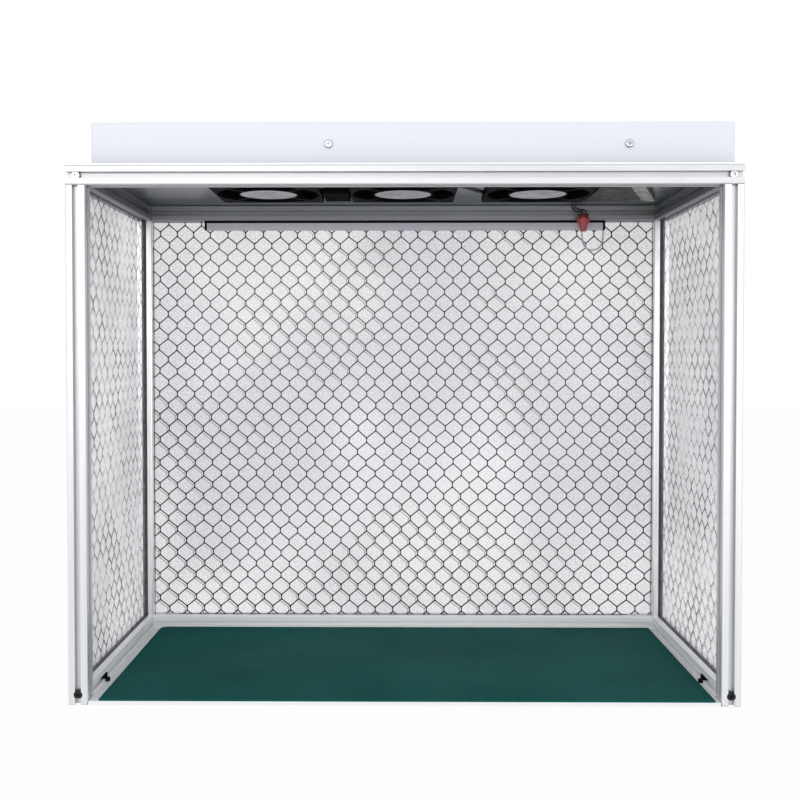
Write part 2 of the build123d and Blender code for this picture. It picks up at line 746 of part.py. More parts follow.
def fan_stator():
    """Slotted iron core pressed on the bearing tube, inside the hub."""
    low = base_top + 3.0
    core = upright(0, 0, low, low + stator_height, stator_diameter)
    core -= upright(0, 0, low - 1, low + stator_height + 1, bearing_tube + 2 * bearing_fit)
    for i in range(stator_slots):
        gap = block(bearing_tube * 0.8, stator_diameter / 2 - 3.0, -2.6, 2.6, low - 1, low + stator_height + 1)
        mouth = block(stator_diameter / 2 - 4.0, stator_diameter, -0.8, 0.8, low - 1, low + stator_height + 1)
        core -= Rot(0, 0, 360 / stator_slots * (i + 0.5)) * (gap + mouth)
    return core


def fan_bearing(low):
    """Bearing shown as one ring, a running fit on the shaft."""
    ring = upright(0, 0, low, low + bearing_width, bearing_diameter)
    return ring - upright(0, 0, low - 1, low + bearing_width + 1, shaft_diameter + 2 * shaft_gap)


housing = fan_housing()
rotor = fan_rotor()
stator = fan_stator()
label_low = fan_low + 0.1
label = upright(0, 0, label_low, fan_low + fan_label_thickness + 0.1, fan_label_diameter)
bearings = [fan_bearing(fan_low + 2.6), fan_bearing(tube_top - bearing_width - 0.5)]
for i, x in enumerate(fan_centres):
    number = i + 1
    add(f"fan_housing_{number}", Pos(x, 0, 0) * housing)
    add(f"fan_rotor_{number}", Pos(x, 0, 0) * rotor)
    add(f"fan_stator_{number}", Pos(x, 0, 0) * stator)
    add(f"fan_label_{number}", Pos(x, 0, 0) * label)
add("fan_bearings", *[Pos(x, 0, 0) * b for x in fan_centres for b in bearings])

# ---------------------------------------------------------------- bridge that carries the fans


def fan_bridge():
    """Folded bridge on two rows of feet, with an inlet hole over each fan."""
    half = bridge_width / 2
    length = bridge_length / 2
    bridge = block(-length, length, -half, half, bridge_low, bridge_top)
    for side in (-1, 1):
        leg = sorted((side * half, side * (half - bridge_thickness)))
        foot = sorted((side * (half - bridge_thickness), side * (half + bridge_foot)))
        bridge += block(-length, length, *leg, panel_top, bridge_top)
        bridge += block(-length, length, *foot, panel_top, panel_top + bridge_thickness)
    for x in fan_centres:
        bridge -= upright(x, 0, bridge_low - 1, bridge_top + 1, bridge_inlet)
        for sx in (-1, 1):
            for sy in (-1, 1):
                hole_x = x + sx * fan_hole_place
                hole_y = sy * fan_hole_place
                bridge -= upright(hole_x, hole_y, bridge_low - 1, bridge_top + 1, fan_hole)
    for x, y in bridge_studs:
        bridge -= upright(x, y, panel_top - 1, panel_top + bridge_thickness + 1, stud_size + 0.6)
    return bridge


def hex_nut(x, y, z):
    """Plain M4 nut."""
    nut = RegularPolygon(nut_width / sqrt(3), 6) - Circle(stud_size / 2 + thread_gap)
    return extrude(Plane(origin=(x, y, z)) * nut, amount=nut_height)


add("fan_bridge", fan_bridge())
fan_screw = pan_screw(fan_screw_size, pan_head_diameter - 0.6, 2.4, fan_screw_length)
fan_nut_low = fan_top - fan_flange - nut_height
add("fan_screws",
    *[Pos(x + sx * fan_hole_place, sy * fan_hole_place, bridge_top) * fan_screw
      for x in fan_centres for sx, sy in corners])
foot_top = panel_top + bridge_thickness
ear_top = panel_top + supply_ear_thickness
nuts = [hex_nut(x + sx * fan_hole_place, sy * fan_hole_place, fan_nut_low)
        for x in fan_centres for sx, sy in corners]
nuts += [hex_nut(x, y, foot_top) for x, y in bridge_studs]
nuts += [hex_nut(x, y, ear_top) for x, y in supply_studs]
add("m4_nuts", *nuts)

# ---------------------------------------------------------------- intake filter

frame_outer = block(-filter_length / 2, filter_length / 2, -filter_width / 2, filter_width / 2,
                    filter_low, filter_high)
filter_inner_x = filter_length / 2 - filter_wall
filter_inner_y = filter_width / 2 - filter_wall
frame_inner = block(-filter_inner_x, filter_inner_x, -filter_inner_y, filter_inner_y,
                    filter_low - 1, filter_high + 1)
add("filter_frame", frame_outer - frame_inner)


def pleated_paper():
    """Pleated paper across the whole frame: one zigzag ribbon, drawn out along Y."""
    low = filter_low + filter_lift
    high = filter_high - filter_top_gap
    count = int(2 * (filter_inner_x - 0.2) / filter_pleat_pitch)
    pitch = 2 * (filter_inner_x - 0.2) / count
    start = -filter_inner_x + 0.2
    crest = [(start + pitch * (i + half), high if half else low) for i in range(count) for half in (0, 0.5)]
    crest.append((start + pitch * count, low))
    under = [(x, z - filter_paper * 2) for x, z in reversed(crest)]
    ribbon = make_face(Plane.XZ * Polyline(*crest, *under, close=True))
    return extrude(ribbon, amount=filter_inner_y - 0.2, both=True)


add("filter_pleats", pleated_paper())

# ---------------------------------------------------------------- lamp bar

channel = block(lamp_left, lamp_right, lamp_front, lamp_rear, lamp_rail_low, post_top)
channel -= block(lamp_left - 1, lamp_right + 1, lamp_front + lamp_wall, lamp_rear - lamp_wall,
                 lamp_rail_low - 1, post_top - lamp_wall)
add("lamp_rail", channel)

strip_top = post_top - lamp_wall
strip_low = strip_top - lamp_strip_thickness
strip = block(lamp_left + 1, lamp_right - 1, lamp_mid - lamp_strip_width / 2, lamp_mid + lamp_strip_width / 2,
              strip_low, strip_top)
chip_pitch = (lamp_right - lamp_left) / lamp_chips
for i in range(lamp_chips):
    x = lamp_left + chip_pitch * (i + 0.5)
    strip += block(x - lamp_chip[0] / 2, x + lamp_chip[0] / 2, lamp_mid - lamp_chip[1] / 2,
                   lamp_mid + lamp_chip[1] / 2, strip_low - lamp_chip[2], strip_low)
add("lamp_strip", strip)


def diffuser():
    """Frosted trough below the mounting rail, rounded along its lower edges."""
    outer = block(lamp_left, lamp_right, lamp_front, lamp_rear, lamp_low, lamp_rail_low)
    low_edges = outer.edges().filter_by(Axis.X).group_by(Axis.Z)[0]
    outer = fillet(low_edges, diffuser_round)
    inner = block(lamp_left - 1, lamp_right + 1, lamp_front + diffuser_wall, lamp_rear - diffuser_wall,
                  lamp_low + diffuser_wall, lamp_rail_low + 1)
    inner_edges = inner.edges().filter_by(Axis.X).group_by(Axis.Z)[0]
    return outer - fillet(inner_edges, diffuser_round - diffuser_wall)


add("lamp_diffuser", diffuser())


def lamp_end(x0, x1):
    """Cap over one end of the lamp bar."""
    cap = block(x0, x1, lamp_front, lamp_rear, lamp_low, post_top)
    return fillet(cap.edges().filter_by(Axis.X).group_by(Axis.Z)[0], diffuser_round)


add("lamp_end_caps", lamp_end(lamp_left - lamp_cap, lamp_left), lamp_end(lamp_right, lamp_right + lamp_cap))

# ---------------------------------------------------------------- lamp wiring


def splice():
    """Twist-on splice: a tapered cap with two small wings, hanging by its leads."""
    cone = Pos(0, 0, splice_height * 0.35) * Cone(splice_bottom_diameter / 2, splice_top_diameter / 2,
                                                  splice_height * 0.7)
    skirt = upright(0, 0, splice_height * 0.7, splice_height, splice_top_diameter)
    body = cone + skirt
    low, rise, fall, high = wing_heights
    wing_outline = [(wing_root, low), (wing_reach, rise), (wing_reach, fall), (wing_root, high)]
    wing = Plane.XZ * make_face(Polyline(*wing_outline, close=True))
    wing = extrude(wing, amount=wing_thickness / 2, both=True)
    body += wing + mirror(wing, about=Plane.YZ)
    return Pos(splice_x, splice_y, splice_bottom) * body


add("wire_splice", splice())


def tube(points, diameter, name):
    """Round lead along straight runs joined by tangent arcs, each as large as its runs
    allow. Prints the arcs' radii and compares the volume with section times length."""
    corner_radii = []
    vectors = [Vector(*p) for p in points]
    for before, here, after in zip(vectors, vectors[1:], vectors[2:]):
        run_in = here - before
        run_out = after - here
        half_turn = radians(run_in.get_angle(run_out)) / 2
        corner_radii.append(0.45 * min(run_in.length, run_out.length) / tan(half_turn))
    route = FilletPolyline(*points, radius=corner_radii)
    section = Plane(origin=route @ 0, z_dir=route % 0) * Circle(diameter / 2)
    solid = sweep(section, path=route)
    ratio = solid.volume / (route.length * pi * diameter ** 2 / 4)
    print(name, "radii", [round(r, 1) for r in corner_radii], "length", round(route.length, 1),
          "volume ratio", round(ratio, 4))
    return solid


# the lamp's lead leaves the right-hand end cap, hangs in a loop and rises into the splice
lead_x = lamp_right + lamp_cap / 2
lead_end_x = splice_x - 1.8
lamp_lead_route = [
    (lead_x, lamp_mid, lamp_low),
    (lead_x, lamp_mid, lamp_low - 9.9),
    (lead_x - 3.2, lamp_mid - 4.15, lamp_low - 21.7),
    (lead_x - 14.7, lamp_mid - 7.55, lamp_low - 27.3),
    (lead_x - 25.6, lamp_mid - 10.15, lamp_low - 23.2),
    (lead_end_x, splice_y, lamp_low - 12.6),
    (lead_end_x, splice_y, splice_bottom),
]
add("lamp_lead", tube(lamp_lead_route, lead_diameter, "lamp_lead"))

# two supply leads drop from the ceiling panel and run to the right into the splice
supply_routes = [
    [(splice_x - 9.5, splice_y + 2.95, panel_low), (splice_x - 9.5, splice_y + 2.95, panel_low - 3.6),
     (splice_x - 5.4, splice_y + 1.95, panel_low - 6.6), (splice_x + 0.2, splice_y + 0.65, panel_low - 7.0),
     (splice_x + 3.4, splice_y, panel_low - 8.4), (splice_x + 3.4, splice_y, splice_top)],
    [(splice_x - 12.5, splice_y + 4.75, panel_low), (splice_x - 12.5, splice_y + 4.75, panel_low - 5.4),
     (splice_x - 8.7, splice_y + 3.45, panel_low - 9.0), (splice_x - 4.2, splice_y + 1.85, panel_low - 9.5),
     (splice_x - 1.4, splice_y + 0.95, panel_low - 9.8), (splice_x - 1.4, splice_y + 0.95, splice_top)],
]
add("lamp_supply_leads", *[tube(r, thin_lead, "lamp_supply_lead") for r in supply_routes])

# leads between the fans lie in the gap between the fans' flanges and the ceiling panel
lead_z = fan_low + fan_flange + thin_lead / 2 + 0.15
fan_lead_routes = [
    [(49.0, -38.0), (60.5, -24.5), (74.0, -4.5), (84.5, 16.0), (98.0, 29.5)],
    [(52.0, -41.5), (64.0, -27.5), (77.5, -7.0), (86.0, 11.0), (97.0, 22.5)],
    [(-105.5, 41.0), (-101.0, 34.0), (-97.0, 27.5), (-92.8, 24.5)],
    [(-98.5, 47.5), (-96.8, 40.0), (-95.5, 33.5), (-93.0, 29.5)],
]
fan_leads = []
for route in fan_lead_routes:
    points = [(x, y, lead_z) for x, y in route]
    fan_leads.append(tube(points, thin_lead, "fan_lead"))
add("fan_leads", *fan_leads)

# junction box stuck to the panel's underside between the left and middle fans
junction_x = -fan_pitch / 2
junction = block(junction_x - junction_width / 2, junction_x + junction_width / 2,
                 junction_front, junction_rear, panel_low - junction_height, panel_low)
junction = fillet(junction.faces().sort_by(Axis.Z)[0].edges(), 1.2)
add("junction_box", junction)

# ---------------------------------------------------------------- supply unit

supply = extrude(Plane.XY.offset(supply_low) * supply_face, amount=supply_height)
supply = fillet(supply.edges().filter_by(Axis.Z), supply_round)
supply = fillet(supply.faces().sort_by(Axis.Z)[0].edges(), 1.5)
for x, y in supply_studs:
    outward = 1 if y > 0 else -1
    ear_root = outward * (supply_half_depth - supply_ear_root)
    y0, y1 = sorted((y + outward * supply_ear / 2, ear_root))
    ear = block(x - supply_ear_width / 2, x + supply_ear_width / 2, y0, y1, panel_top, ear_top)
    supply += ear - upright(x, y, panel_top - 1, ear_top + 1, stud_size + 0.4)
add("supply_unit", supply)

# ---------------------------------------------------------------- socket and switch at the rear


def supply_jack():
    """Round low-voltage socket with its centre pin, and the nut behind the wall."""
    inward = (0, -1, 0)
    flange_y = header_rear + socket_flange_thickness
    jack = rod((socket_x, flange_y, socket_z), inward, socket_flange_thickness, socket_flange)
    rim = jack.edges().filter_by(GeomType.CIRCLE).sort_by(Axis.Y)[-1]
    jack = chamfer(rim, 0.5)
    jack += rod((socket_x, header_rear, socket_z), inward, socket_depth, socket_diameter)
    jack -= rod((socket_x, flange_y + 1, socket_z), inward, socket_depth - 1, socket_bore)
    jack += rod((socket_x, header_rear, socket_z), inward, socket_depth - 1, socket_pin)
    nut_face = Plane(origin=(socket_x, header_rear - header_wall, socket_z), z_dir=inward)
    nut = RegularPolygon(socket_flange / sqrt(3), 6) - Circle(socket_diameter / 2 + thread_gap)
    return [jack, extrude(nut_face * nut, amount=2.0)]


add("supply_socket", *supply_jack())


def switch_housing():
    """Bezel and body of the rocker switch, with the round pocket that the rocker turns in."""
    half_x = switch_bezel[0] / 2
    half_z = switch_bezel[1] / 2
    bezel = block(switch_x - half_x, switch_x + half_x, header_rear, header_rear + switch_bezel_thickness,
                  switch_z - half_z, switch_z + half_z)
    bezel = fillet(bezel.edges().filter_by(Axis.Y), 2.0)
    bezel = chamfer(bezel.faces().sort_by(Axis.Y)[-1].edges(), 0.5)
    half_x = switch_body[0] / 2
    half_z = switch_body[1] / 2
    body = block(switch_x - half_x, switch_x + half_x, header_rear - switch_depth, header_rear,
                 switch_z - half_z, switch_z + half_z)
    pocket_half = rocker_width / 2 + rocker_gap
    pocket = rod((switch_x - pocket_half, rocker_y, switch_z), (1, 0, 0), 2 * pocket_half,
                 2 * (rocker_radius + rocker_gap))
    pin_half = rocker_width / 2 + rocker_pin_length + 0.15
    pins = rod((switch_x - pin_half, rocker_y, switch_z), (1, 0, 0), 2 * pin_half,
               rocker_pin + 2 * thread_gap)
    return bezel + body - pocket - pins


def switch_rocker():
    """Rocker with a shallow V face, rocked to one side, and its two pivot pins."""
    half = rocker_width / 2
    edge_y = rocker_valley + rocker_radius * tan(radians(rocker_tilt))
    outline = [(rocker_valley, 0), (edge_y, rocker_radius), (-rocker_depth, rocker_radius),
               (-rocker_depth, -rocker_radius), (edge_y, -rocker_radius)]
    face = make_face(Polyline(*outline, close=True)) & Circle(rocker_radius)
    side_plane = Plane(origin=(0, 0, 0), x_dir=(0, 1, 0), z_dir=(1, 0, 0))
    rocker = extrude(side_plane * face, amount=half, both=True)
    pin_half = half + rocker_pin_length
    rocker += rod((-pin_half, 0, 0), (1, 0, 0), 2 * pin_half, rocker_pin)
    return Pos(switch_x, rocker_y, switch_z) * Rot(-rocker_tilt, 0, 0) * rocker


add("switch_body", switch_housing())
add("switch_rocker", switch_rocker())

# ---------------------------------------------------------------- one STEP file per node

os.makedirs("parts", exist_ok=True)
for name, solids in nodes.items():
    shape = solids[0] if len(solids) == 1 else Compound(children=list(solids))
    export_step(shape, f"parts/{name}.step")
print(len(nodes), "nodes written")
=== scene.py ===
"""Looks of the laminar flow hood: its materials, the lamp's free lead, and a plain studio round it.
Lengths are in metres, apart from those that say millimetres."""

import math
from functools import cached_property

import bpy
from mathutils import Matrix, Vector


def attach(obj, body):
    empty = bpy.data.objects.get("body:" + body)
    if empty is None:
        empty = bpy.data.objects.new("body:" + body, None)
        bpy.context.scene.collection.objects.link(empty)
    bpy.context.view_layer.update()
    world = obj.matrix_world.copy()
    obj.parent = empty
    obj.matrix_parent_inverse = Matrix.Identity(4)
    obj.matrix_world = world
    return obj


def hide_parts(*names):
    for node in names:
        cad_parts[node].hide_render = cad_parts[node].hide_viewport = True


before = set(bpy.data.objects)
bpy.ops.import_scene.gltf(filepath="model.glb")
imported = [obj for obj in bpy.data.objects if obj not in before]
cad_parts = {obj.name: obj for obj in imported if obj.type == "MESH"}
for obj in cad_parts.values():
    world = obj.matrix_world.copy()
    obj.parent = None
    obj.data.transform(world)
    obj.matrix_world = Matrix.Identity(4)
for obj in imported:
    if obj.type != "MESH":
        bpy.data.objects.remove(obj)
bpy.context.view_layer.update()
scene = bpy.context.scene

# ---------------------------------------------------------------- camera

camera_data = bpy.data.cameras.new("camera")
camera_data.sensor_fit = "HORIZONTAL"
camera_data.sensor_width = 36.0
camera_data.lens = 47.84
camera_data.shift_x = 0.0152
camera_data.shift_y = -0.0260
camera_data.clip_start = 0.01
tilt_down, turn_left = 1.265, 0.534     # degrees
camera = bpy.data.objects.new("camera", camera_data)
camera.location = (-0.0061, -1.2216, 0.3536)
camera.rotation_euler = (math.radians(90 - tilt_down), 0.0, math.radians(turn_left))
scene.collection.objects.link(camera)
scene.camera = camera

# ---------------------------------------------------------------- shader helper


class Shader:
    """Builds the nodes of one procedural material, or of the world."""

    def __init__(self, name, kind="materials"):
        self.owner = getattr(bpy.data, kind).new(name)
        self.owner.use_nodes = True
        self.tree = self.owner.node_tree
        self.tree.nodes.clear()

    @cached_property
    def place(self):
        return self.add("ShaderNodeTexCoord").outputs["Object"]

    def add(self, kind, **settings):
        node = self.tree.nodes.new(kind)
        for key, value in settings.items():
            setattr(node, key, value)
        return node

    def feed(self, socket, value):
        if isinstance(value, bpy.types.NodeSocket):
            self.tree.links.new(value, socket)
        else:
            socket.default_value = value

    def math(self, operation, a, b=0.0, c=0.0):
        node = self.add("ShaderNodeMath", operation=operation)
        for socket, value in zip(node.inputs, (a, b, c)):
            self.feed(socket, value)
        return node.outputs[0]

    def parts(self, vector):
        """The x, y and z of a vector."""
        node = self.add("ShaderNodeSeparateXYZ")
        self.feed(node.inputs[0], vector)
        return node.outputs

    def smallest(self, *values):
        result = values[0]
        for value in values[1:]:
            result = self.math("MINIMUM", result, value)
        return result

    def stretched(self, scale):
        node = self.add("ShaderNodeMapping")
        node.inputs["Scale"].default_value = scale
        self.feed(node.inputs["Vector"], self.place)
        return node.outputs[0]

    def noise(self, scale, detail=3.0, rough=0.5, at=None, distortion=0.0, colour=False):
        """Cloudy noise, with this many cells to the metre."""
        node = self.add("ShaderNodeTexNoise")
        self.feed(node.inputs["Vector"], at if at is not None else self.place)
        node.inputs["Scale"].default_value = scale
        node.inputs["Detail"].default_value = detail
        node.inputs["Roughness"].default_value = rough
        node.inputs["Distortion"].default_value = distortion
        return node.outputs["Color" if colour else "Fac"]

    def cells(self, scale, feature="F1"):
        node = self.add("ShaderNodeTexVoronoi", feature=feature)
        self.feed(node.inputs["Vector"], self.place)
        node.inputs["Scale"].default_value = scale
        return node.outputs["Distance"]

    def span(self, value, low, high, to_low=0.0, to_high=1.0, smooth=False):
        """Carries low to high over to to_low to to_high, and holds the ends."""
        node = self.add("ShaderNodeMapRange", interpolation_type="SMOOTHSTEP" if smooth else "LINEAR")
        self.feed(node.inputs["Value"], value)
        ends = {"From Min": low, "From Max": high, "To Min": to_low, "To Max": to_high}
        for name, number in ends.items():
            node.inputs[name].default_value = number
        return node.outputs["Result"]

    def hollow(self, reach):
        """Low in recesses and corners narrower than reach, and 1 on open faces."""
        node = self.add("ShaderNodeAmbientOcclusion", samples=8)
        node.inputs["Distance"].default_value = reach
        return node.outputs["AO"]

    def blend(self, factor, a, b):
        node = self.add("ShaderNodeMix", data_type="RGBA")
        self.feed(node.inputs[0], factor)
        for socket, value in ((node.inputs[6], a), (node.inputs[7], b)):
            self.feed(socket, (*value, 1.0) if isinstance(value, tuple) else value)
        return node.outputs[2]

    def bump(self, height, strength, distance):
        node = self.add("ShaderNodeBump")
        node.inputs["Strength"].default_value = strength
        node.inputs["Distance"].default_value = distance
        self.feed(node.inputs["Height"], height)
        return node.outputs["Normal"]

    def shade(self, kind, **values):
        """A shader of this kind, with its sockets set by name."""
        node = self.add(kind)
        for key, value in values.items():
            if isinstance(value, tuple) and len(value) == 3:
                value = (*value, 1.0)
            self.feed(node.inputs[key.replace("_", " ")], value)
        return node.outputs[0]

    def end_in(self, shader):
        world = isinstance(self.owner, bpy.types.World)
        out = self.add("ShaderNodeOutputWorld" if world else "ShaderNodeOutputMaterial")
        self.feed(out.inputs["Surface"], shader)
        return self.owner

    def finish(self, **values):
        return self.end_in(self.shade("ShaderNodeBsdfPrincipled", **values))

    def finish_seen_white(self, plain, white, white_share=1.0):
        """White to the camera, mirrors and glass, and the plain shader to all other light."""
        paths = self.add("ShaderNodeLightPath").outputs
        seen = self.math("MAXIMUM", paths["Is Camera Ray"], paths["Is Glossy Ray"])
        seen = self.math("MAXIMUM", seen, paths["Is Transmission Ray"])
        mix = self.add("ShaderNodeMixShader")
        for socket, value in zip(mix.inputs, (self.math("MULTIPLY", seen, white_share), plain, white)):
            self.feed(socket, value)
        return self.end_in(mix.outputs[0])


def scaled(colour, share):
    return tuple(min(1.0, c * share) for c in colour)


def grained(name, colour, spread, rough, scale=60.0, grain=900.0, bump=0.15, **more):
    """Painted or moulded surface: slight cloudy colour, uneven gloss and a fine grain."""
    s = Shader(name)
    cloud = s.noise(scale, 4.0)
    fine = s.noise(grain, 2.0)
    both = s.math("MULTIPLY_ADD", cloud, 0.7, s.math("MULTIPLY", fine, 0.3))
    mixed = s.blend(both, scaled(colour, 1 - spread), scaled(colour, 1 + spread))
    gloss = s.span(cloud, 0.3, 0.7, rough - 0.05, rough + 0.07)
    return s.finish(Base_Color=mixed, Roughness=gloss, Normal=s.bump(fine, bump, 0.0003), **more)


def drawn_metal(name, axis, colour, rough, lines=0.05, metal=1.0, painted_shade_reach=0.0):
    """Drawn metal with fine lines along one axis and faint handling marks. Recesses
    narrower than the given reach get painted shade, near black."""
    lines_to_the_metre, lengths_to_the_metre = 420.0, 3.0
    s = Shader(name)
    scale = [lines_to_the_metre] * 3
    scale[axis] = lengths_to_the_metre
    along = s.noise(1.0, 3.0, 0.6, at=s.stretched(scale))
    marks = s.noise(28.0, 5.0, 0.6, distortion=0.6)
    base = s.blend(s.span(along, 0.35, 0.65), scaled(colour, 1 - lines * 2), colour)
    smudge = s.span(marks, 0.52, 0.75, 0.0, 0.35, smooth=True)
    base = s.blend(smudge, base, scaled(colour, 0.9))
    gloss = s.math("MULTIPLY_ADD", smudge, 0.15, s.span(along, 0.3, 0.7, rough - 0.05, rough + 0.06))
    # Painted shade: recesses narrower than the reach blend towards near black.
    if painted_shade_reach:
        base = s.blend(s.span(s.hollow(painted_shade_reach), 0.25, 0.8, 0.9, 0.0), base, (0.02, 0.02, 0.022))
    return s.finish(Base_Color=base, Roughness=gloss, Metallic=metal, Normal=s.bump(along, 0.05, 0.0002))


def film(name, across, shift, worn):
    """Clear film with a thin printed grid of flattened hexagons, its soft waves and haze, and a painted
    shadow of the grid: a blurred, shifted second copy of its lines. The grid's sizes are in millimetres."""
    half_pitch, half_rise, half_edge = 11.1, 14.6, 2.75     # a hexagon's, and its upright edges'
    line_half_width, line_blur = 0.60, 0.22
    # A blurred, shifted copy of the grid, drawn as a painted shadow of its lines.
    shadow_half_width, shadow_blur, shadow_shift = 0.3, 1.0, (2.6, 1.9)
    corner_blob = 0.75                                      # ink that gathers where lines meet
    wander = 9.0                                            # how far the film's waves carry the lines
    steep = math.atan2(half_rise - 2 * half_edge, half_pitch)

    s = Shader(name)
    place = s.parts(s.place)
    waves = s.parts(s.noise(9.0, 2.0, 0.4, colour=True))
    u, v = [s.math("ADD", s.math("MULTIPLY_ADD", place[axis], 1000.0, start),
                   s.math("MULTIPLY_ADD", wave, wander, -wander / 2))
            for axis, start, wave in zip((across, 2), shift, waves)]

    def line(du, dv, half_width, blur):
        x = s.math("PINGPONG", s.math("ADD", u, du), half_pitch)
        z = s.math("PINGPONG", s.math("ADD", v, dv), half_rise)
        past_edge = s.math("SUBTRACT", z, half_edge)
        before_edge = s.math("SUBTRACT", half_rise - half_edge, z)
        across_left = s.math("SUBTRACT", half_pitch, x)
        diagonal = s.math("ABSOLUTE", s.math("SUBTRACT", s.math("MULTIPLY", past_edge, math.cos(steep)),
                                             s.math("MULTIPLY", x, math.sin(steep))))
        lower = s.math("MAXIMUM", x, past_edge)
        upper = s.math("MAXIMUM", across_left, before_edge)
        corners = s.smallest(s.math("ADD", x, s.math("ABSOLUTE", past_edge)),
                             s.math("ADD", across_left, s.math("ABSOLUTE", before_edge)))
        near = s.smallest(diagonal, lower, upper, s.math("SUBTRACT", corners, corner_blob))
        return s.span(near, half_width, half_width + blur, 1.0, 0.0, smooth=True)

    printed = s.span(s.noise(26.0, 4.0, 0.7), 0.38, 0.62, 1.0 - worn, 1.0)
    grid = s.math("MULTIPLY", line(0.0, 0.0, line_half_width, line_blur), printed)
    # Painted shadow of the grid: patchy, dark brown and partly opaque.
    shadow_strength = s.span(s.noise(5.5, 2.0, 0.5), 0.44, 0.56, 0.0, 0.75, smooth=True)
    grid_shadow = s.math("MULTIPLY", line(*shadow_shift, shadow_half_width, shadow_blur), shadow_strength)
    haze = s.noise(4.0, 3.0, 0.5)
    fine = s.noise(420.0, 3.0, 0.6)
    ripple = s.noise(14.0, 2.0, 0.4)
    body = s.blend(s.span(haze, 0.38, 0.62, smooth=True), (0.57, 0.54, 0.61), (0.85, 0.82, 0.89))
    body = s.blend(s.span(fine, 0.35, 0.7, 0.0, 0.35), body, (0.46, 0.43, 0.50))
    body = s.blend(grid_shadow, body, (0.12, 0.08, 0.07))
    body = s.blend(grid, body, (0.004, 0.004, 0.005))
    clear = s.math("ADD", s.span(fine, 0.3, 0.7, 0.18, 0.32), s.span(haze, 0.38, 0.62, 0.05, -0.05))
    inked = s.math("MAXIMUM", grid, s.math("MULTIPLY", grid_shadow, 0.6))
    return s.finish(Base_Color=body, Roughness=0.22, Alpha=s.math("MAXIMUM", clear, inked),
                    Specular_IOR_Level=0.5, Normal=s.bump(ripple, 0.25, 0.004))


# ---------------------------------------------------------------- materials

anodised_x, anodised_y, anodised_z = [
    drawn_metal("anodised_along_" + word, axis, (0.97, 0.975, 0.98), 0.36, metal=metal)
    for axis, (word, metal) in enumerate((("x", 0.0), ("y", 0.0), ("z", 0.95)))]
# The anodised profile again, painted darker for the front beam and posts that the lamps light most, with
# painted shade in their slots.
front_painted_darker_x, front_painted_darker_z = [
    drawn_metal("anodised_front_painted_darker_along_" + word, axis, (tone, tone + 0.005, tone + 0.02), 0.36,
                metal=0.45, painted_shade_reach=0.0035)
    for axis, word, tone in ((0, "x", 0.65), (2, "z", 0.77))]
# The anodised profile again, painted darker for the top rails, as the shade that falls under the header.
top_painted_shade_x, top_painted_shade_y = [
    drawn_metal("anodised_painted_shade_along_" + word, axis, (tone, tone + 0.01, tone + 0.02), 0.4, metal=0.6)
    for axis, word, tone in ((0, "x", 0.34), (1, "y", 0.26))]
film_rear = film("film_rear_grid", 0, (1.15, 16.9), 0.0)
film_side = film("film_side_grid", 1, (4.0, 0.0), 0.65)
seal = grained("seal_rubber", (0.060, 0.060, 0.064), 0.25, 0.62)
black = grained("black_moulding", (0.004, 0.0035, 0.004), 0.3, 0.72, bump=0.2,
                Specular_IOR_Level=0.08)
# Both screw finishes get painted shade in their recesses.
black_screw = drawn_metal("black_oxide", 2, (0.022, 0.022, 0.025), 0.42, metal=0.6, painted_shade_reach=0.0016)
zinc = drawn_metal("zinc_plate", 2, (0.60, 0.61, 0.64), 0.26, 0.04, painted_shade_reach=0.0016)
steel = drawn_metal("bare_steel", 0, (0.50, 0.51, 0.53), 0.36, 0.06)
board = grained("floor_board_white", (0.86, 0.865, 0.87), 0.03, 0.35)
header = grained("powder_coat_white", (0.75, 0.765, 0.82), 0.015, 0.42, scale=8.0, grain=1500.0,
                 bump=0.12)
paper = grained("filter_paper", (0.80, 0.79, 0.74), 0.06, 0.9, bump=0.4)
dark_case = grained("dark_case", (0.006, 0.0055, 0.0065), 0.2, 0.75, Specular_IOR_Level=0.02)
frosted = grained("frosted_cover", (0.60, 0.59, 0.64), 0.05, 0.38, scale=30.0)
strip_white = grained("lamp_board_white", (0.80, 0.80, 0.74), 0.03, 0.5)
lead_black = grained("lead_sleeve_black", (0.02, 0.02, 0.022), 0.2, 0.4)
lead_clear = grained("lead_sleeve_clear", (0.62, 0.62, 0.65), 0.15, 0.2, scale=200.0, Alpha=0.75)


def label_material():
    """Silvered label, dusty and mottled."""
    s = Shader("label_foil")
    cloud = s.noise(60.0, 4.0, 0.6, distortion=0.5)
    specks = s.cells(420.0)
    base = s.blend(s.span(cloud, 0.35, 0.65), (0.42, 0.42, 0.44), (0.72, 0.72, 0.75))
    base = s.blend(s.span(specks, 0.10, 0.30, 0.55, 0.0), base, (0.12, 0.12, 0.13))
    return s.finish(Base_Color=base, Roughness=s.span(cloud, 0.3, 0.7, 0.42, 0.6), Metallic=0.5,
                    Specular_IOR_Level=0.2, Normal=s.bump(cloud, 0.2, 0.0005))


def ceiling_material():
    """Satin sheet metal under the header, with faint cloudy marks and bright cut edges."""
    s = Shader("ceiling_sheet")
    cloud = s.noise(6.0, 4.0, 0.55, distortion=0.4)
    fine = s.noise(700.0, 2.0)
    base = s.blend(s.span(cloud, 0.35, 0.65), (0.17, 0.185, 0.20), (0.30, 0.32, 0.345))
    gloss = s.span(cloud, 0.3, 0.7, 0.26, 0.36)
    facing = s.parts(s.add("ShaderNodeNewGeometry").outputs["True Normal"])
    cut_edge = s.span(s.math("ABSOLUTE", facing[2]), 0.4, 0.6, 1.0, 0.0)
    base = s.blend(cut_edge, base, (0.86, 0.865, 0.87))
    return s.finish(Base_Color=base, Roughness=gloss, Metallic=s.span(cut_edge, 0.0, 1.0, 0.75, 0.2),
                    Normal=s.bump(fine, 0.08, 0.0002))


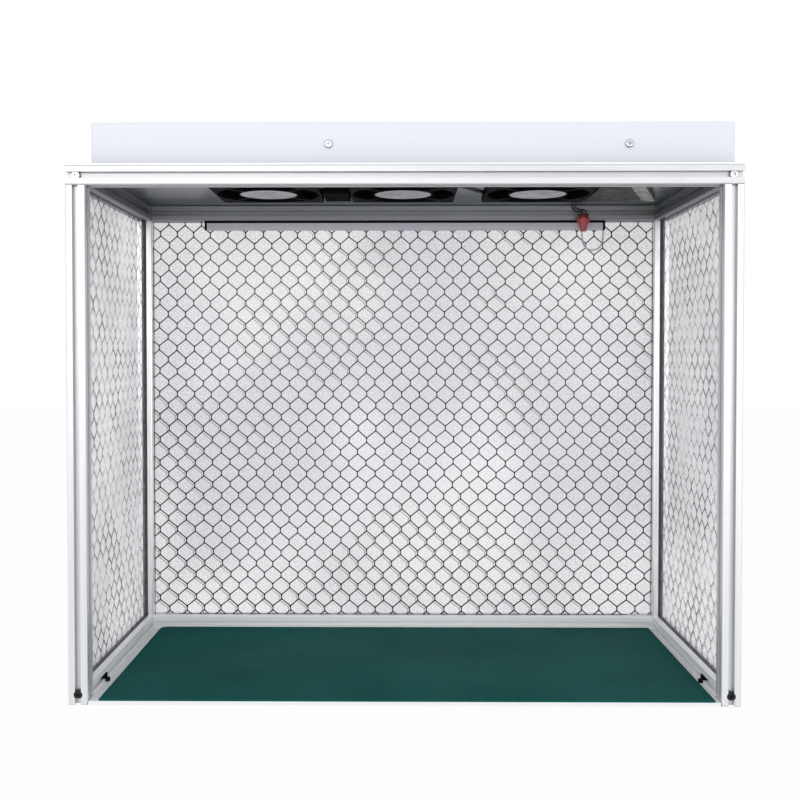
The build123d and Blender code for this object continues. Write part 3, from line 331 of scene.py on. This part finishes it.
def mat_material():
    """Green rubber with a fine pebbled grain, rubbed a little where hands rest."""
    s = Shader("mat_rubber_green")
    pebble = s.cells(950.0)
    cloud = s.noise(7.0, 4.0, 0.55)
    rub = s.noise(2.2, 3.0, 0.5, distortion=0.8)
    fine = s.noise(1400.0, 2.0)
    base = s.blend(s.span(cloud, 0.35, 0.65), (0.001, 0.070, 0.060), (0.003, 0.094, 0.082))
    base = s.blend(s.span(fine, 0.4, 0.75, 0.0, 0.4), base, (0.020, 0.100, 0.092))
    gloss = s.span(rub, 0.4, 0.65, 0.66, 0.80, smooth=True)
    height = s.math("MULTIPLY_ADD", fine, 0.5, pebble)
    return s.finish(Base_Color=base, Roughness=gloss, Specular_IOR_Level=0.07,
                    Normal=s.bump(height, 0.35, 0.0004))


def splice_material():
    """Glossy red cap, darker towards its mouth at the top."""
    s = Shader("splice_red")
    dark_starts, dark_full = 0.524, 0.531       # heights
    top = s.span(s.parts(s.place)[2], dark_starts, dark_full, smooth=True)
    streak = s.noise(300.0, 3.0)
    base = s.blend(s.span(streak, 0.3, 0.7), (0.42, 0.060, 0.055), (0.55, 0.090, 0.085))
    base = s.blend(top, base, (0.07, 0.012, 0.012))
    return s.finish(Base_Color=base, Roughness=0.3, Normal=s.bump(streak, 0.15, 0.0003))


def wrap_material():
    """Dark shrink sleeve, wrinkled, with a painted brownish sheen on its folds and silver foil at its
    slanted end.
    """
    s = Shader("shrink_sleeve")
    slant = math.atan(1 / 3)
    foil_starts, foil_full = 0.2555, 0.2575     # distances along the slant
    folds = s.noise(70.0, 4.0, 0.6, distortion=1.2)
    creases = s.cells(55.0, feature="DISTANCE_TO_EDGE")
    # Painted sheen: the higher parts of the folds are painted brownish.
    base = s.blend(s.span(folds, 0.35, 0.7), (0.006, 0.0045, 0.004), (0.060, 0.038, 0.030))
    x, y, _ = s.parts(s.place)
    along = s.math("SUBTRACT", s.math("MULTIPLY", x, math.cos(slant)),
                   s.math("MULTIPLY", y, math.sin(slant)))
    foil = s.span(s.math("MULTIPLY_ADD", folds, 0.006, along), foil_starts, foil_full, smooth=True)
    silver = s.blend(s.span(folds, 0.4, 0.6), (0.22, 0.21, 0.20), (0.62, 0.61, 0.59))
    base = s.blend(foil, base, silver)
    height = s.math("ADD", folds, s.span(creases, 0.0, 0.25, 0.0, 0.6))
    return s.finish(Base_Color=base, Roughness=s.span(folds, 0.3, 0.7, 0.30, 0.6),
                    Metallic=s.math("MULTIPLY", foil, 0.6), Specular_IOR_Level=0.16,
                    Normal=s.bump(height, 0.7, 0.003))


looks = (
    (anodised_x, "rear_bottom_rail"),
    (anodised_y, "bottom_side_rail_left bottom_side_rail_right"),
    (anodised_z, "rear_post_left rear_post_right"),
    (front_painted_darker_x, "front_top_beam"),
    (front_painted_darker_z, "front_post_left front_post_right"),
    (top_painted_shade_x, "rear_top_rail"),
    (top_painted_shade_y, "top_side_rail_left top_side_rail_right"),
    (film_rear, "film_rear"),
    (film_side, "film_left film_right"),
    (seal, "film_seals_left film_seals_right film_seals_rear"),
    (black_screw, "lower_frame_screws"),
    (zinc, "upper_frame_screws header_screws panel_screws fan_screws m4_nuts"),
    (steel, "corner_keys key_set_screws panel_slot_nuts fan_bearings fan_bridge "
            "fan_stator_1 fan_stator_2 fan_stator_3"),
    (board, "base_board"),
    (mat_material(), "esd_mat"),
    (ceiling_material(), "ceiling_panel"),
    (header, "header_cover"),
    (label_material(), "fan_label_1 fan_label_2 fan_label_3"),
    (paper, "filter_pleats"),
    (dark_case, "filter_frame junction_box"),
    (frosted, "lamp_diffuser"),
    (strip_white, "lamp_strip"),
    (splice_material(), "wire_splice"),
    (lead_black, "fan_leads lamp_supply_leads"),
    (wrap_material(), "supply_unit"),
)
look_of = {node: material for material, names in looks for node in names.split()}
for name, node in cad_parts.items():
    material = look_of.get(name, black)
    if not node.data.materials:
        node.data.materials.append(material)
    for i in range(len(node.data.materials)):
        node.data.materials[i] = material

# ---------------------------------------------------------------- lead

lamp_lead_diameter = 2.0        # millimetres, as the route is
lamp_lead_route = [
    (255.5, 138.75, 513.5), (255.5, 138.75, 503.6), (252.3, 134.6, 491.8), (240.8, 131.2, 486.2),
    (229.9, 128.6, 490.3), (226.2, 126.45, 500.9), (226.2, 126.45, 510.4)]

curve = bpy.data.curves.new("lamp_lead_loop", "CURVE")
curve.dimensions = "3D"
curve.resolution_u = 24
curve.bevel_depth = lamp_lead_diameter / 2000
curve.bevel_resolution = 5
curve.use_fill_caps = True
curve.materials.append(lead_clear)
spline = curve.splines.new("NURBS")
spline.points.add(len(lamp_lead_route) - 1)
for point, place in zip(spline.points, lamp_lead_route):
    point.co = (*[c / 1000 for c in place], 1.0)
spline.order_u = 3
spline.use_endpoint_u = True
lamp_lead = bpy.data.objects.new("lamp_lead_loop", curve)
scene.collection.objects.link(lamp_lead)
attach(lamp_lead, "frame_body")
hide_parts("lamp_lead")

# ---------------------------------------------------------------- stage and light

half_side, depth_below = 6.0, 0.0005
floor_mesh = bpy.data.meshes.new("floor")
floor_mesh.from_pydata([(x * half_side, y * half_side, -depth_below)
                        for x, y in ((-1, -1), (1, -1), (1, 1), (-1, 1))], [], [(0, 1, 2, 3)])
s = Shader("floor_white")
floor_mesh.materials.append(s.finish_seen_white(
    s.shade("ShaderNodeBsdfDiffuse", Color=(0.86, 0.86, 0.87)),
    s.shade("ShaderNodeEmission", Color=(1.0, 1.0, 1.0), Strength=1.0), white_share=0.95))
floor = bpy.data.objects.new("floor", floor_mesh)
scene.collection.objects.link(floor)

s = Shader("studio", "worlds")
scene.world = s.finish_seen_white(
    s.shade("ShaderNodeBackground", Color=(0.96, 0.98, 1.0), Strength=0.88),
    s.shade("ShaderNodeBackground", Color=(1.0, 1.0, 1.0), Strength=1.0))

aim = Vector((0.0, 0.0, 0.25))
for name, place, size, power in (("key", (-0.7, -2.4, 0.75), (1.6, 1.0), 11.5),
                                 ("fill", (1.0, -2.3, 0.45), (1.4, 0.8), 7.5)):
    data = bpy.data.lights.new(name, "AREA")
    data.shape = "RECTANGLE"
    data.size, data.size_y = size
    data.energy = power
    lamp = bpy.data.objects.new(name, data)
    lamp.location = place
    lamp.rotation_euler = (aim - Vector(place)).to_track_quat("-Z", "Y").to_euler()
    scene.collection.objects.link(lamp)

scene.view_settings.view_transform = "Standard"
